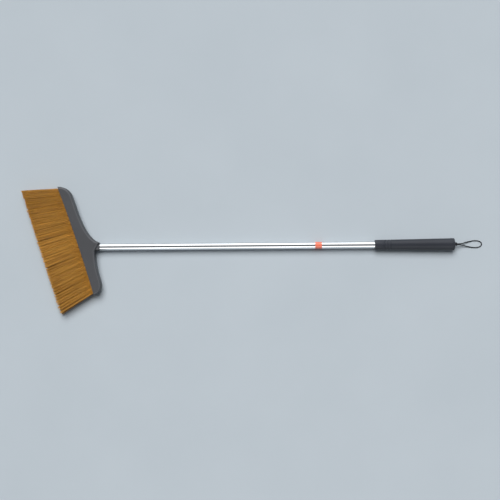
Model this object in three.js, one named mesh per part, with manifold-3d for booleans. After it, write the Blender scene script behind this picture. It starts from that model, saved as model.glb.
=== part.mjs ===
// A long-handled broom with a slanted hood, lying on the back of its hood and the end of its grip.
// Millimetres. +X runs along the handle from the head to the grip and +Z is up.
// Lengths along the handle are measured from the hood's mouth, where the handle's axis crosses it.

import * as THREE from 'three';
import { mergeVertices } from 'three/addons/utils/BufferGeometryUtils.js';
import Module from 'manifold-3d';

// Head: its turn away from square to the handle, where it rests, and the play between fitted pieces
const HEAD_TILT_DEG = 18.2;
const REST_POINT = 14;
const FIT = 0.3;

// Hood: a hollow moulding, bell-shaped in plan, open at its mouth
const HOOD_WIDTH = 325;
const HOOD_THICKNESS = 35;
const HOOD_WALL = 2.6;
const HOOD_EDGE_ROUND = 6;
const HOOD_LEAST_ROUND = 0.5;
const HOOD_SHOULDER = 29.6;
const HOOD_END_RUN = 40;
const MOUTH_CENTRE = -19;
const MOUTH_ARCH = 3;
const RIB_THICKNESS = 2.2;
const RIB_PITCH = 50;
const RIBS = 5;

// The hood's two ends: the upper one leans in from the mouth, and both have a fullness as shares of the way
const UPPER_END_LEAN_DEG = 18;
const UPPER_END_RISE = 0.4;
const UPPER_END_RUN = 0.64;
const LOWER_END_RISE = 0.65;
const LOWER_END_RUN = 0.7;

// Sweep of the hood's outline from its shoulders to its neck, as shares of the way
const UPPER_SWEEP_START = 0.53;
const UPPER_SWEEP_END = 0.145;
const UPPER_SWEEP_RISE = 0.07;
const LOWER_SWEEP_START = 0.23;
const LOWER_SWEEP_RISE = 0.64;
const LOWER_SWEEP_END = 0.46;

// Socket of the hood, in line with the handle
const SOCKET_OD = 24;
const SOCKET_END = 61.2;
const SOCKET_LIP = 2.5;
const SOCKET_LIP_BORE = 13;
const SOCKET_CHAMFER = 1.2;
const COLLAR_LENGTH = 0.7;
const NOTCH_AT = 47.3;

// Bristle block and the tufts that fan out from it
const BLOCK_RECESS = 4;
const BLOCK_DEPTH = 15;
const TUFT_HOLE_DEPTH = 7;
const TUFT_ROOT_RADIUS = 3.5;
const TUFT_BLOOM = 14;
const TUFT_BLOOM_WIDTH = 18.5;
const TUFT_TIP_WIDTH = 21;
const TUFT_DEPTH = 10.2;
const TUFT_LEAST_PITCH = 13;
const TUFT_END_MARGIN = 13.5;
const TUFT_TRIM = 6;
const ROW_SPACING = 9.5;
const ROW_TIP_SPACING = 10.9;
const BRISTLE_LENGTH = 102;
const BRISTLE_FLARE_DEG = 11.5;

// Countersunk screws
const SCREW_RADIUS = 1.6;
const SCREW_HEAD_RADIUS = 3.1;
const SCREW_HEAD_HEIGHT = 1.7;
const SCREW_POINT = 2;
const SCREW_SINK = 0.2;
const SCREW_CLEARANCE = 0.25;
const BLOCK_SCREWS = 4;
const BLOCK_SCREW_LENGTH = 13;
const BLOCK_SCREW_PITCH = 80;
const BLOCK_SCREW_EDGE = 3.2;
const SOCKET_SCREW_LENGTH = 14;
const SOCKET_SCREW_AT = 41;
const SOCKET_SCREW_BOSS = 4.6;

// Handle tube, the plug in its lower end and its colour band
const TUBE_OD = 19;
const TUBE_WALL = 1;
const PLUG_LENGTH = 26;
const PLUG_WALL = 2;
const BAND_START = 674.7;
const BAND_LENGTH = 19;
const BAND_THICKNESS = 0.3;
const BAND_GAP = 0.1;

// Grip: a front ring, a long tapered sleeve and an end cap
const GRIP_START = 844.7;
const GRIP_END = 1071.7;
const GRIP_START_OD = 28;
const GRIP_END_OD = 35;
const GRIP_RING_LENGTH = 28;
const GRIP_ROUND = 1.5;
const GROOVE_WIDTH = 1.4;
const GROOVE_DEPTH = 0.9;
const FAINT_GROOVES = 2;
const FAINT_GROOVE_PITCH = 8.6;
const FAINT_GROOVE_DEPTH = 0.35;
const CAP_THICKNESS = 6;
const CAP_ROUND = 2.6;
const SPIGOT_LENGTH = 24;
const SPIGOT_WALL = 2;

// Hanging cord: a knot at the end cap and a teardrop loop that droops to the floor
const CORD_DIAMETER = 2.8;
const CORD_HOLE_RADIUS = 3.1;
const KNOT_STANDOFF = 5;
const KNOT_RADIUS = 3;
const KNOT_HALF_WIDTH = 4.7;
const STOPPER_RADIUS = 5;
// One side of the loop: how far from the knot's centre, from the middle of the loop and below the knot
const LOOP_SIDE = [
  [3.3, 1.5, 0.3], [9, 1.5, 2.4], [15, 1.7, 5.4], [21, 2.7, 8.6], [28, 4.6, 11.6], [36, 6.6, 14],
  [44, 8.3, 15.3], [52, 9.6, 15.9], [59, 9.8, 15.95], [66, 9, 15.95], [71.4, 7.1, 15.95], [75, 4.2, 15.95],
];
const LOOP_TIP = [76.3, 0, 15.95];
const CORD_SIDES = 8;
const CORD_STEPS = 48;

// Facets
const ROUND_SEGMENTS = 24;
const TUFT_SIDES = 6;
const SCREW_SIDES = 12;
const EDGE_STEPS = 3;
const CURVE_STEPS = 12;
const WELD = 1e-4;

// Sizes that follow from the ones above
const tilt = THREE.MathUtils.degToRad(HEAD_TILT_DEG);
const alongHandle = new THREE.Vector2(Math.sin(tilt), Math.cos(tilt));
const acrossHandle = new THREE.Vector2(Math.cos(tilt), -Math.sin(tilt));
const socketRadius = SOCKET_OD / 2;
const boreRadius = TUBE_OD / 2 + FIT;
const mouthLeft = MOUTH_CENTRE - HOOD_WIDTH / 2;
const mouthRight = MOUTH_CENTRE + HOOD_WIDTH / 2;
const blockBack = BLOCK_RECESS + BLOCK_DEPTH;
const socketStart = (blockBack + FIT + socketRadius * Math.sin(tilt)) / Math.cos(tilt);
const socketFloor = socketStart + SOCKET_LIP;
const tubeStart = socketFloor + FIT;
const tubeInner = TUBE_OD / 2 - TUBE_WALL;
const capStart = GRIP_END - CAP_THICKNESS;
const tubeEnd = capStart - FIT;
const grooveAt = GRIP_START + GRIP_RING_LENGTH;
const knotAt = GRIP_END + KNOT_STANDOFF;
const freeLength = BLOCK_RECESS + BRISTLE_LENGTH;
const beyond = 2 * HOOD_WIDTH;

const wasm = await Module();
wasm.setup();

// Solids for cutting and joining
function toSolid(geometry) {
  const bare = geometry.clone();
  bare.deleteAttribute('normal');
  bare.deleteAttribute('uv');
  const welded = mergeVertices(bare, WELD);
  const corners = welded.index.array;
  const kept = [];
  for (let i = 0; i < corners.length; i += 3) {
    const [a, b, c] = corners.slice(i, i + 3);
    if (a !== b && b !== c && c !== a) kept.push(a, b, c);
  }
  const vertProperties = Float32Array.from(welded.attributes.position.array);
  const triVerts = Uint32Array.from(kept);
  return new wasm.Manifold(new wasm.Mesh({ numProp: 3, vertProperties, triVerts }));
}

function toGeometry(solid) {
  const { vertProperties, triVerts } = solid.getMesh();
  const geometry = new THREE.BufferGeometry();
  geometry.setAttribute('position', new THREE.BufferAttribute(Float32Array.from(vertProperties), 3));
  geometry.setIndex(new THREE.BufferAttribute(Uint32Array.from(triVerts), 1));
  geometry.computeVertexNormals();
  return geometry;
}

function joined(geometries) {
  return geometries.map(toSolid).reduce((all, solid) => all.add(solid));
}

// Revolved pieces turn about their own Y axis, with profiles of [radius, distance along the axis]
function revolve(profile, segments = ROUND_SEGMENTS) {
  const points = profile.map(([radius, along]) => new THREE.Vector2(radius, along));
  return new THREE.LatheGeometry(points, segments, Math.PI / 2);
}

function ring(inner, outer, start, end) {
  return revolve([[inner, start], [outer, start], [outer, end], [inner, end], [inner, start]]);
}

function rod(radius, start, end, segments = ROUND_SEGMENTS) {
  return revolve([[0, start], [radius, start], [radius, end], [0, end]], segments);
}

// Points of a rounded edge, between two directions given in degrees from the outward one
function roundedEdge(radius, along, round, fromDeg, toDeg) {
  return Array.from({ length: EDGE_STEPS + 1 }, (_, step) => {
    const angle = THREE.MathUtils.degToRad(THREE.MathUtils.lerp(fromDeg, toDeg, step / EDGE_STEPS));
    return [radius + round * Math.cos(angle), along + round * Math.sin(angle)];
  });
}

function boxBetween(low, high) {
  const size = high.map((value, axis) => value - low[axis]);
  const middle = high.map((value, axis) => (value + low[axis]) / 2);
  return new THREE.BoxGeometry(...size).translate(...middle);
}

function spread(count, pitch) {
  return Array.from({ length: count }, (_, i) => (i - (count - 1) / 2) * pitch);
}

// Screws are driven from the back of the hood: head at the back face, point towards the front
function atBack(geometry, x, y) {
  return geometry.rotateX(Math.PI / 2).translate(x, y, SCREW_SINK - HOOD_THICKNESS / 2);
}

function screw(length) {
  return revolve([
    [0, 0],
    [SCREW_HEAD_RADIUS, 0],
    [SCREW_RADIUS, SCREW_HEAD_HEIGHT],
    [SCREW_RADIUS, length - SCREW_POINT],
    [0, length],
  ], SCREW_SIDES);
}

function screwHole(length) {
  const mouth = SCREW_HEAD_RADIUS + SCREW_CLEARANCE;
  const shank = SCREW_RADIUS + SCREW_CLEARANCE;
  return revolve([
    [0, -HOOD_WALL],
    [mouth, -HOOD_WALL],
    [mouth, 0],
    [shank, SCREW_HEAD_HEIGHT],
    [shank, length + SCREW_CLEARANCE],
    [0, length + SCREW_CLEARANCE],
  ], SCREW_SIDES);
}

const blockScrewSpots = spread(BLOCK_SCREWS, BLOCK_SCREW_PITCH).map(
  (along) => [MOUTH_CENTRE + along, blockBack - BLOCK_SCREW_EDGE],
);

// The head is drawn lying flat: X along the mouth, Y from the mouth towards the handle, Z to the front
function onHandle(along, across) {
  return alongHandle.clone().multiplyScalar(along).addScaledVector(acrossHandle, across);
}

function inLine(geometry) {
  return geometry.rotateZ(-tilt);
}

const socketScrewSpot = onHandle(SOCKET_SCREW_AT, 0);

function bellOutline() {
  const upperShoulder = mouthLeft + HOOD_END_RUN;
  const lowerShoulder = mouthRight - HOOD_END_RUN;
  const overrun = 3 * HOOD_EDGE_ROUND;
  const tip = onHandle(SOCKET_END - COLLAR_LENGTH, -socketRadius);
  const notch = onHandle(NOTCH_AT, socketRadius);
  const upperRun = tip.x - upperShoulder;
  const upperRise = tip.y - HOOD_SHOULDER;
  const lowerRun = lowerShoulder - notch.x;
  const lowerRise = notch.y - HOOD_SHOULDER;
  const upperLean = Math.tan(THREE.MathUtils.degToRad(UPPER_END_LEAN_DEG));
  const upperRiseStart = UPPER_END_RISE * HOOD_SHOULDER;
  const outline = new THREE.Shape();
  outline.moveTo(mouthLeft - overrun * upperLean, -overrun);
  outline.lineTo(mouthLeft, 0);
  outline.bezierCurveTo(
    mouthLeft + upperRiseStart * upperLean, upperRiseStart,
    upperShoulder - UPPER_END_RUN * HOOD_END_RUN, HOOD_SHOULDER,
    upperShoulder, HOOD_SHOULDER,
  );
  outline.bezierCurveTo(
    upperShoulder + UPPER_SWEEP_START * upperRun, HOOD_SHOULDER,
    tip.x - UPPER_SWEEP_END * upperRun, HOOD_SHOULDER + UPPER_SWEEP_RISE * upperRise,
    tip.x, tip.y,
  );
  outline.lineTo(notch.x, notch.y);
  outline.bezierCurveTo(
    notch.x + LOWER_SWEEP_START * lowerRun, HOOD_SHOULDER + LOWER_SWEEP_RISE * lowerRise,
    lowerShoulder - LOWER_SWEEP_END * lowerRun, HOOD_SHOULDER,
    lowerShoulder, HOOD_SHOULDER,
  );
  outline.bezierCurveTo(
    lowerShoulder + LOWER_END_RUN * HOOD_END_RUN, HOOD_SHOULDER,
    mouthRight, LOWER_END_RISE * HOOD_SHOULDER,
    mouthRight, 0,
  );
  outline.lineTo(mouthRight, -overrun);
  return outline;
}

// The bell with rounded edges, everywhere inside the hood's outer face by the same distance
function bell(inset) {
  const round = Math.max(HOOD_EDGE_ROUND - inset, HOOD_LEAST_ROUND);
  const depth = HOOD_THICKNESS - 2 * inset - 2 * round;
  const geometry = new THREE.ExtrudeGeometry(bellOutline(), {
    depth,
    curveSegments: CURVE_STEPS,
    bevelThickness: round,
    bevelSize: round,
    bevelOffset: -(inset + round),
    bevelSegments: EDGE_STEPS,
  });
  return toSolid(geometry.translate(0, 0, -depth / 2));
}

function mouthCut() {
  const outside = new THREE.Shape();
  outside.moveTo(mouthRight, 0);
  outside.quadraticCurveTo(MOUTH_CENTRE, 2 * MOUTH_ARCH, mouthLeft, 0);
  outside.lineTo(-beyond, 0);
  outside.lineTo(-beyond, -beyond);
  outside.lineTo(beyond, -beyond);
  outside.lineTo(beyond, 0);
  const geometry = new THREE.ExtrudeGeometry(outside, {
    depth: 2 * HOOD_THICKNESS,
    curveSegments: CURVE_STEPS,
    bevelEnabled: false,
  });
  return toSolid(geometry.translate(0, 0, -HOOD_THICKNESS));
}

// Walls inside the hood: one under the socket, and a row that the block seats against
function hoodRibs() {
  const half = RIB_THICKNESS / 2;
  const web = inLine(boxBetween([-half, socketStart, -beyond], [half, SOCKET_END, beyond]));
  const stops = spread(RIBS, RIB_PITCH).map((along) => {
    const middle = MOUTH_CENTRE + along;
    return boxBetween([middle - half, blockBack + FIT, -beyond], [middle + half, beyond, beyond]);
  });
  const boss = rod(SOCKET_SCREW_BOSS, 0, HOOD_THICKNESS / 2);
  return joined([web, ...stops, atBack(boss, socketScrewSpot.x, socketScrewSpot.y)]);
}

function socketSleeve() {
  return inLine(revolve([
    [0, socketStart],
    [socketRadius, socketStart],
    [socketRadius, SOCKET_END - SOCKET_CHAMFER],
    [socketRadius - SOCKET_CHAMFER, SOCKET_END],
    [0, SOCKET_END],
  ]));
}

function hoodGeometry() {
  const outer = bell(0);
  const shell = outer.subtract(bell(HOOD_WALL)).add(hoodRibs().intersect(outer));
  const openings = joined([
    inLine(rod(boreRadius, socketFloor, beyond)),
    inLine(rod(SOCKET_LIP_BORE / 2, 0, beyond)),
    atBack(screwHole(SOCKET_SCREW_LENGTH), socketScrewSpot.x, socketScrewSpot.y),
    ...blockScrewSpots.map(([x, y]) => atBack(screwHole(BLOCK_SCREW_LENGTH), x, y)),
  ]);
  return toGeometry(shell.add(toSolid(socketSleeve())).subtract(openings).subtract(mouthCut()));
}

// Tufts are drawn pointing away from the block along -Y, round at the root and flattened at the tip
function tuft() {
  const length = freeLength + TUFT_TRIM;
  const geometry = revolve([
    [0, -length],
    [TUFT_TIP_WIDTH / 2, -length],
    [TUFT_BLOOM_WIDTH / 2, -TUFT_BLOOM],
    [TUFT_ROOT_RADIUS, 0],
    [TUFT_ROOT_RADIUS, TUFT_HOLE_DEPTH - FIT],
    [0, TUFT_HOLE_DEPTH - FIT],
  ], TUFT_SIDES);
  const position = geometry.attributes.position;
  for (let i = 0; i < position.count; i += 1) {
    const width = position.getY(i) < -TUFT_BLOOM ? TUFT_TIP_WIDTH : TUFT_BLOOM_WIDTH;
    if (position.getY(i) < 0) position.setZ(i, position.getZ(i) * TUFT_DEPTH / width);
  }
  return geometry;
}

function tuftHole() {
  return rod(TUFT_ROOT_RADIUS + FIT, -TUFT_HOLE_DEPTH, TUFT_HOLE_DEPTH, TUFT_SIDES);
}

// Where the tufts of a row stand and lean; row is 1 at the front, 0 in the middle and -1 at the back
function rowPlaces(row) {
  const span = HOOD_WIDTH - 2 * TUFT_END_MARGIN;
  const gaps = Math.floor(span / TUFT_LEAST_PITCH);
  const count = row === 0 ? gaps : gaps + 1;
  const flare = Math.tan(THREE.MathUtils.degToRad(BRISTLE_FLARE_DEG));
  return spread(count, span / gaps).map((along) => {
    const lean = new THREE.Vector3(
      freeLength * flare * along / (span / 2),
      -freeLength,
      row * (ROW_TIP_SPACING - ROW_SPACING),
    ).normalize();
    const turn = new THREE.Quaternion().setFromUnitVectors(new THREE.Vector3(0, -1, 0), lean);
    const root = new THREE.Vector3(MOUTH_CENTRE + along, BLOCK_RECESS, row * ROW_SPACING);
    return new THREE.Matrix4().compose(root, turn, new THREE.Vector3(1, 1, 1));
  });
}

function rowGeometry(row) {
  const tufts = joined(rowPlaces(row).map((place) => tuft().applyMatrix4(place)));
  const trimmed = boxBetween([-beyond, -BRISTLE_LENGTH, -beyond], [beyond, beyond, beyond]);
  return toGeometry(tufts.intersect(toSolid(trimmed)));
}

function blockGeometry() {
  const bar = boxBetween([-beyond, BLOCK_RECESS, -beyond], [beyond, blockBack, beyond]);
  const tuftHoles = [1, 0, -1].flatMap(rowPlaces).map((place) => tuftHole().applyMatrix4(place));
  const screwHoles = blockScrewSpots.map(([x, y]) => atBack(screwHole(BLOCK_SCREW_LENGTH), x, y));
  const holes = joined([...tuftHoles, ...screwHoles]);
  return toGeometry(bell(HOOD_WALL + FIT).intersect(toSolid(bar)).subtract(holes));
}

// Handle pieces are drawn along Y, with the back of the broom towards -Z
function tubeGeometry() {
  const tube = toSolid(ring(tubeInner, TUBE_OD / 2, tubeStart, tubeEnd));
  return toGeometry(tube.subtract(toSolid(atBack(screwHole(SOCKET_SCREW_LENGTH), 0, SOCKET_SCREW_AT))));
}

function plugGeometry() {
  const radius = tubeInner - FIT;
  const cup = revolve([
    [0, tubeStart],
    [radius, tubeStart],
    [radius, tubeStart + PLUG_LENGTH],
    [radius - PLUG_WALL, tubeStart + PLUG_LENGTH],
    [radius - PLUG_WALL, tubeStart + PLUG_WALL],
    [0, tubeStart + PLUG_WALL],
  ]);
  const hole = atBack(screwHole(SOCKET_SCREW_LENGTH), 0, SOCKET_SCREW_AT);
  return toGeometry(toSolid(cup).subtract(toSolid(hole)));
}

function bandGeometry() {
  const inner = TUBE_OD / 2 + BAND_GAP;
  return ring(inner, inner + BAND_THICKNESS, BAND_START, BAND_START + BAND_LENGTH);
}

function gripRadius(along) {
  return THREE.MathUtils.mapLinear(along, GRIP_START, GRIP_END, GRIP_START_OD / 2, GRIP_END_OD / 2);
}

function onGrip(along, depth = 0) {
  return [gripRadius(along) - depth, along];
}

function gripRingGeometry() {
  const end = grooveAt - FIT / 2;
  return revolve([
    [boreRadius, GRIP_START],
    ...roundedEdge(gripRadius(GRIP_START) - GRIP_ROUND, GRIP_START + GRIP_ROUND, GRIP_ROUND, -90, 0),
    onGrip(end - GROOVE_WIDTH / 2),
    onGrip(end, GROOVE_DEPTH),
    [boreRadius, end],
    [boreRadius, GRIP_START],
  ]);
}

function gripSleeveGeometry() {
  const start = grooveAt + FIT / 2;
  const end = capStart - FIT;
  const faint = Array.from({ length: FAINT_GROOVES }, (_, i) => {
    const middle = grooveAt + (i + 1) * FAINT_GROOVE_PITCH;
    return [
      onGrip(middle - GROOVE_WIDTH / 2),
      onGrip(middle, FAINT_GROOVE_DEPTH),
      onGrip(middle + GROOVE_WIDTH / 2),
    ];
  });
  return revolve([
    [boreRadius, start],
    onGrip(start, GROOVE_DEPTH),
    onGrip(start + GROOVE_WIDTH / 2),
    ...faint.flat(),
    onGrip(end),
    [boreRadius, end],
    [boreRadius, start],
  ]);
}

function capGeometry() {
  const spigot = tubeInner - FIT;
  const hollow = spigot - SPIGOT_WALL;
  return revolve([
    [CORD_HOLE_RADIUS, capStart],
    [hollow, capStart],
    [hollow, capStart - SPIGOT_LENGTH],
    [spigot, capStart - SPIGOT_LENGTH],
    [spigot, capStart],
    onGrip(capStart),
    ...roundedEdge(gripRadius(GRIP_END) - CAP_ROUND, GRIP_END - CAP_ROUND, CAP_ROUND, 0, 90),
    [CORD_HOLE_RADIUS, GRIP_END],
    [CORD_HOLE_RADIUS, capStart],
  ]);
}

// The cord's knot outside the cap, its two strands through the hole and the stopper knot inside
function knotGeometry() {
  const stopperAt = capStart - FIT - Math.sqrt(STOPPER_RADIUS ** 2 - CORD_HOLE_RADIUS ** 2);
  const knot = new THREE.SphereGeometry(1, ROUND_SEGMENTS / 2, ROUND_SEGMENTS / 4);
  const stopper = new THREE.SphereGeometry(STOPPER_RADIUS, ROUND_SEGMENTS / 2, ROUND_SEGMENTS / 4);
  return toGeometry(joined([
    knot.scale(KNOT_HALF_WIDTH, KNOT_RADIUS, KNOT_RADIUS).translate(0, knotAt, 0),
    rod(CORD_HOLE_RADIUS - FIT, stopperAt, knotAt, ROUND_SEGMENTS / 2),
    stopper.translate(0, stopperAt, 0),
  ]));
}

// The loop is drawn from the knot's centre, along X, and sinks to the floor
function loopGeometry() {
  const out = LOOP_SIDE.map(([along, aside, drop]) => new THREE.Vector3(along, aside, -drop));
  const back = LOOP_SIDE.map(([along, aside, drop]) => new THREE.Vector3(along, -aside, -drop)).reverse();
  const [tipAlong, tipAside, tipDrop] = LOOP_TIP;
  const tip = new THREE.Vector3(tipAlong, tipAside, -tipDrop);
  const route = new THREE.CatmullRomCurve3([...out, tip, ...back]);
  const section = new THREE.Shape(
    Array.from({ length: CORD_SIDES }, (_, i) => {
      const angle = (2 * Math.PI * (i + 0.5)) / CORD_SIDES;
      return new THREE.Vector2(Math.cos(angle), Math.sin(angle)).multiplyScalar(CORD_DIAMETER / 2);
    }),
  );
  return new THREE.ExtrudeGeometry(section, { steps: CORD_STEPS, bevelEnabled: false, extrudePath: route });
}

// Finishes
const GREY_PLASTIC = { color: 0x53575b, roughness: 0.55, metalness: 0 };
const BLACK_PLASTIC = { color: 0x2b2d30, roughness: 0.6, metalness: 0 };
const FIBRE = { color: 0x916730, roughness: 0.6, metalness: 0 };
const ALUMINIUM = { color: 0xe4e6e8, roughness: 0.2, metalness: 1 };
const ORANGE_FILM = { color: 0xe8694a, roughness: 0.3, metalness: 0 };
const GRIP_PLASTIC = { color: 0x3c3d42, roughness: 0.6, metalness: 0 };
const CORD = { color: 0x2f3137, roughness: 0.9, metalness: 0 };
const STEEL = { color: 0xb4b6b8, roughness: 0.35, metalness: 1 };

function piece(name, geometry, finish) {
  const mesh = new THREE.Mesh(geometry, new THREE.MeshStandardMaterial(finish));
  mesh.name = name;
  return mesh;
}

function buildHead() {
  const head = new THREE.Group();
  head.rotation.z = tilt - Math.PI / 2;
  head.add(piece('hood', hoodGeometry(), GREY_PLASTIC));
  head.add(piece('bristle_block', blockGeometry(), BLACK_PLASTIC));
  head.add(piece('bristle_row_front', rowGeometry(1), FIBRE));
  head.add(piece('bristle_row_middle', rowGeometry(0), FIBRE));
  head.add(piece('bristle_row_back', rowGeometry(-1), FIBRE));
  blockScrewSpots.forEach(([x, y], i) => {
    head.add(piece(`block_screw_${i + 1}`, atBack(screw(BLOCK_SCREW_LENGTH), x, y), STEEL));
  });
  return head;
}

function buildHandle() {
  const handle = new THREE.Group();
  handle.rotation.z = -Math.PI / 2;
  handle.add(piece('socket_screw', atBack(screw(SOCKET_SCREW_LENGTH), 0, SOCKET_SCREW_AT), STEEL));
  handle.add(piece('tube', tubeGeometry(), ALUMINIUM));
  handle.add(piece('tube_plug', plugGeometry(), BLACK_PLASTIC));
  handle.add(piece('colour_band', bandGeometry(), ORANGE_FILM));
  handle.add(piece('grip_front_ring', gripRingGeometry(), GRIP_PLASTIC));
  handle.add(piece('grip_sleeve', gripSleeveGeometry(), GRIP_PLASTIC));
  handle.add(piece('end_cap', capGeometry(), GRIP_PLASTIC));
  handle.add(piece('cord_knot', knotGeometry(), CORD));
  return handle;
}

function buildLoop() {
  const loop = new THREE.Group();
  loop.position.x = knotAt;
  loop.add(piece('hang_cord', loopGeometry(), CORD));
  return loop;
}

const broom = new THREE.Group();
broom.position.set(-REST_POINT, 0, HOOD_THICKNESS / 2);
broom.add(buildHead(), buildHandle(), buildLoop());

export default broom;
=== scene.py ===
"""A long-handled broom with a slanted hood, lying flat and seen from straight above.

Lengths are in millimetres until a mesh is made, in the same frame as the CAD part: +X along the handle and +Z up.
Lengths along the handle are measured from the hood's mouth, where the handle's axis crosses it.
"""

import math

import bpy
import numpy as np
from mathutils import Matrix


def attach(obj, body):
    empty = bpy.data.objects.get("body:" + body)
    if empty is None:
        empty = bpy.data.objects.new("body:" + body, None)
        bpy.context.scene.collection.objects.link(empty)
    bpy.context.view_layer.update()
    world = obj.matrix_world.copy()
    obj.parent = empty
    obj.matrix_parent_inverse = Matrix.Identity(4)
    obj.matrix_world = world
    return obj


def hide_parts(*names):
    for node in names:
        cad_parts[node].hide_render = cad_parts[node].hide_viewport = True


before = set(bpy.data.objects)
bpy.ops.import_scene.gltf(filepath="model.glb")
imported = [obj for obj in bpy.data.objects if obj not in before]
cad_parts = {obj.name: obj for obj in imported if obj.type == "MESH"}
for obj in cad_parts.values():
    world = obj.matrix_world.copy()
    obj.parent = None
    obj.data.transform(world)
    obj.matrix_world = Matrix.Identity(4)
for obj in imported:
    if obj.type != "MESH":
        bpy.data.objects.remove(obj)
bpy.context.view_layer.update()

MM = 0.001
rng = np.random.default_rng(20)

# Head
TILT = math.radians(18.2)
REST_POINT = 14
HOOD_WIDTH = 325
HALF_THICKNESS = 17.5
HOOD_WALL = 2.6
EDGE_ROUND = 6
LEAST_ROUND = 0.5
HOOD_SHOULDER = 29.6
HOOD_END_RUN = 40
MOUTH_CENTRE = -19
MOUTH_LEFT = MOUTH_CENTRE - HOOD_WIDTH / 2
MOUTH_RIGHT = MOUTH_CENTRE + HOOD_WIDTH / 2
MOUTH_ARCH = 3
MOUTH_OVERRUN = 3 * EDGE_ROUND
MOULD_LINE = 0.12
MOULD_LINE_TOP = 0.12
MOULD_LINE_FOOT = 0.35
SOCKET_RADIUS = 12
SOCKET_START = 24.26
SOCKET_END = 61.2
SOCKET_FLOOR = 2.5
SOCKET_ROUND = 1.2
BORE_CUT_END = 90
COLLAR_LENGTH = 0.7
NOTCH_AT = 47.3
TIP_CLEARANCE = 1.8 * EDGE_ROUND
FIT = 0.3
ROUND_LEVELS = 8
ARCH_STEPS = 40
SOCKET_SEGMENTS = 96
# The cutter that opens the mouth reaches past the hood on every side
CUT_HALF_WIDTH = 400
CUT_REACH = 90
CUT_HALF_HEIGHT = 60

# Outline of the hood: where the handles of its four curves stand, as shares of each curve's width and height
UPPER_END_LEAN = math.radians(18)
UPPER_END_RISE = 0.4
UPPER_END_RUN = 0.64
UPPER_SWEEP_START = 0.53
UPPER_SWEEP_END = 0.145
UPPER_SWEEP_RISE = 0.07
LOWER_SWEEP_START = 0.23
LOWER_SWEEP_RISE = 0.64
LOWER_SWEEP_END = 0.46
LOWER_END_RUN = 0.7
LOWER_END_RISE = 0.65
END_STEPS = 24
UPPER_SWEEP_STEPS = 60
LOWER_SWEEP_STEPS = 48

# Tufts of the bristles
BLOCK_RECESS = 4
ROW_SPACING = 9.5
ROW_TIP_SPACING = 10.9
TUFT_GAPS = 22
TUFT_END_MARGIN = 13.5
TUFT_SPAN = HOOD_WIDTH - 2 * TUFT_END_MARGIN
BRISTLE_LENGTH = 102
UPPER_FLARE = math.radians(14.2)
LOWER_FLARE = math.radians(14.0)
ROW_FLARE = math.radians(1.0)
# Fibres are longer by the shift in the middle of a row, and the slant makes them longer still towards the lower
# end, up to this share of the way
TRIM_SHIFT = 2.6
TRIM_SLANT = 3.4
TRIM_SLANT_END = 0.6

# Fibres of a tuft
TUFT_FIBRES = 110
FIBRE_RADIUS = 0.27
FIBRE_STEPS = 7
FIBRE_STEP_POWER = 1.15
FREE_MOST = 1.1
FIBRE_SIDES = 4
FIBRE_SIDE_TURN = 0.4
TIP_START = 0.85
TIP_TAPER = 0.3
ROOT_DEPTH = 4
# Half a tuft's width and depth: in its hole, where it has bloomed just outside, and what the tips add
ROOT_HALF = 2.6
BLOOM_HALF_WIDTH = 7.5
BLOOM_HALF_DEPTH = 4.6
BLOOM_RUN = 1.8
TIP_HALF_WIDTH = 8.2
TIP_WIDTH_POWER = 1.3
TIP_DEPTH_OUTER = 1.0
TIP_DEPTH_INNER = 0.6
# Fibres stay clear of the planes of the hood's back and front
FIBRES_ABOVE_BACK = 0.6
FIBRES_BELOW_FRONT = 0.3
# An even spread of places in a tuft: the step from fibre to fibre and from tuft to tuft, across and in depth
SPREAD_ACROSS = (0.7549, 0.31)
SPREAD_DEEP = (0.5698, 0.17)
SWAY = 0.15
SWAY_WAVES = 5.5
BEND = 0.2
STRAY_ACROSS = 0.5
STRAY_DEEP = 0.35
END_UNEVEN = 0.7
SHORT_SHARE = 0.06
SHORT_BY = 6

# Clumps: each tuft parts in two in depth, and in two or three across
TUFT_CLUMPS = 6
CLUMP_CUTS = [-0.33, 0.33]
CLUMP_CUT_SPREAD = 0.1
TWO_ACROSS_SHARE = 0.85
TWO_ACROSS_CUTS = [0, 2]
CLUMP_LEAST_SPREAD = 0.004
CLUMP_DRIFT = 0.05
CLUMP_GATHER = (1.0, 1.05)
CLUMP_END_UNEVEN = 1.0
CLUMP_PULL = 0.26
CLUMP_PULL_SLANT = 0.16
CLUMP_PULL_POWER = 0.8
CLUMP_HOLLOW = 0.75
FIBRE_TONE = 0.8
CLUMP_TONE = 0.2
# Painted shade: how much darker the fibres' tone gets towards the upper and the lower end of the row
PAINTED_SHADE_UPPER = 0.42
PAINTED_SHADE_LOWER = 0.26

# Screws
SCREW_RADIUS = 1.6
SCREW_HEAD_RADIUS = 3.1
SCREW_HEAD_HEIGHT = 1.7
SCREW_HEAD_RIM = 0.3
SCREW_HEAD_BEVEL = 0.15
SCREW_HEAD_BEVEL_HEIGHT = 0.12
SCREW_SINK = 0.2
SCREW_SEGMENTS = 40
BLOCK_SCREW_COUNT = 4
BLOCK_SCREW_LENGTH = 13
BLOCK_SCREW_PITCH = 80
BLOCK_SCREW_IN = 15.8
SOCKET_SCREW_LENGTH = 14
SOCKET_SCREW_AT = 41
THREAD_FROM_HEAD = 0.6
THREAD_FROM_END = 2
THREAD_STEP = 0.3
THREAD_DEPTH = 0.3
POINT_LENGTH = 1.6
POINT_STEP = 0.1
POINT_RADIUS = 0.15
POINT_BLUNT = 0.1
RECESS_DEPTH = 1.1
RECESS_ABOVE = 0.5
RECESS_HALF_LENGTH = 1.75
RECESS_HALF_WIDTH = 0.36
RECESS_TAPER = 0.55
COUNTERSINK_GAP = 0.25
COUNTERSINK_BELOW = 1
COUNTERSINK_REACH = 9
COUNTERSINK_SEGMENTS = 48

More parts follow.
